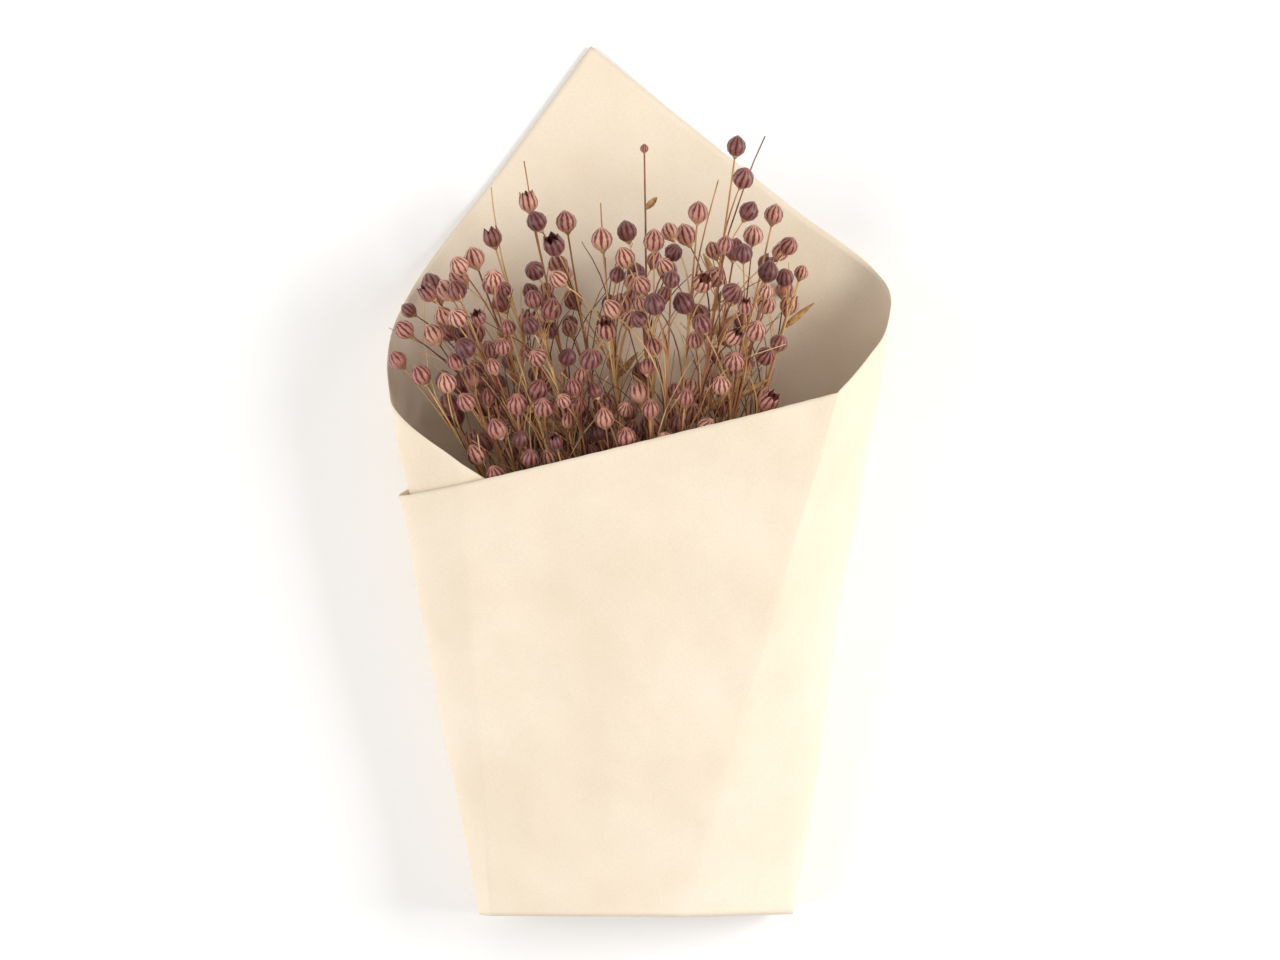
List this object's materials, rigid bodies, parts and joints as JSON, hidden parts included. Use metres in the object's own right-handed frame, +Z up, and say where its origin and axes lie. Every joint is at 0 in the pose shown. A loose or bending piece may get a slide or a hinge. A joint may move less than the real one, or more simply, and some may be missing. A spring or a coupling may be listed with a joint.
{
  "type": "bundle of dried flax in a paper sleeve",
  "caption": "Bunch of dried flax stems with round seed capsules, rolled in a cornet of plain kraft paper with one corner standing behind the heads.",
  "frame": {"origin": "centre of the bounding box's base: in the middle of the bundle, on the table that it lies on", "axes": "+Y from the cut ends to the seed heads and the paper's standing corner, +X to the right as seen from above with the heads away, +Z up from the table and out of the bundle's front"},
  "size_m": [0.2162, 0.386, 0.0852],
  "materials": {
    "kraft_paper": "matt cream kraft paper",
    "band_rubber": "plain tan rubber band",
    "dried_flax": "dry, tan stems and purple-brown streaked capsules"
  },
  "bodies": {
    "root": {"paper_wrap": "kraft_paper", "stem_band": "band_rubber", "flax_plant_01": "dried_flax", "flax_plant_02": "dried_flax", "flax_plant_03": "dried_flax", "flax_plant_04": "dried_flax", "flax_plant_05": "dried_flax", "flax_plant_06": "dried_flax", "flax_plant_07": "dried_flax", "flax_plant_08": "dried_flax", "flax_plant_09": "dried_flax", "flax_plant_10": "dried_flax", "flax_plant_11": "dried_flax", "flax_plant_12": "dried_flax", "flax_plant_13": "dried_flax", "flax_plant_14": "dried_flax", "flax_plant_15": "dried_flax", "flax_plant_16": "dried_flax", "flax_plant_17": "dried_flax", "flax_plant_18": "dried_flax", "flax_plant_19": "dried_flax", "flax_plant_20": "dried_flax", "flax_plant_21": "dried_flax", "flax_plant_22": "dried_flax", "flax_plant_23": "dried_flax", "flax_plant_24": "dried_flax", "flax_plant_25": "dried_flax", "flax_plant_26": "dried_flax", "flax_plant_27": "dried_flax", "flax_plant_28": "dried_flax", "flax_plant_29": "dried_flax", "flax_plant_30": "dried_flax", "flax_plant_31": "dried_flax", "flax_plant_32": "dried_flax", "flax_plant_33": "dried_flax", "flax_plant_34": "dried_flax", "flax_plant_35": "dried_flax", "flax_plant_36": "dried_flax", "flax_plant_37": "dried_flax", "flax_plant_38": "dried_flax", "flax_plant_39": "dried_flax", "flax_plant_40": "dried_flax", "flax_plant_41": "dried_flax", "flax_plant_42": "dried_flax", "flax_plant_43": "dried_flax", "flax_plant_44": "dried_flax", "flax_plant_45": "dried_flax", "flax_plant_46": "dried_flax", "flax_plant_47": "dried_flax", "flax_plant_48": "dried_flax", "flax_plant_49": "dried_flax", "flax_plant_50": "dried_flax", "flax_plant_51": "dried_flax", "flax_plant_52": "dried_flax", "flax_plant_53": "dried_flax", "flax_plant_54": "dried_flax"}
  },
  "joints": []
}
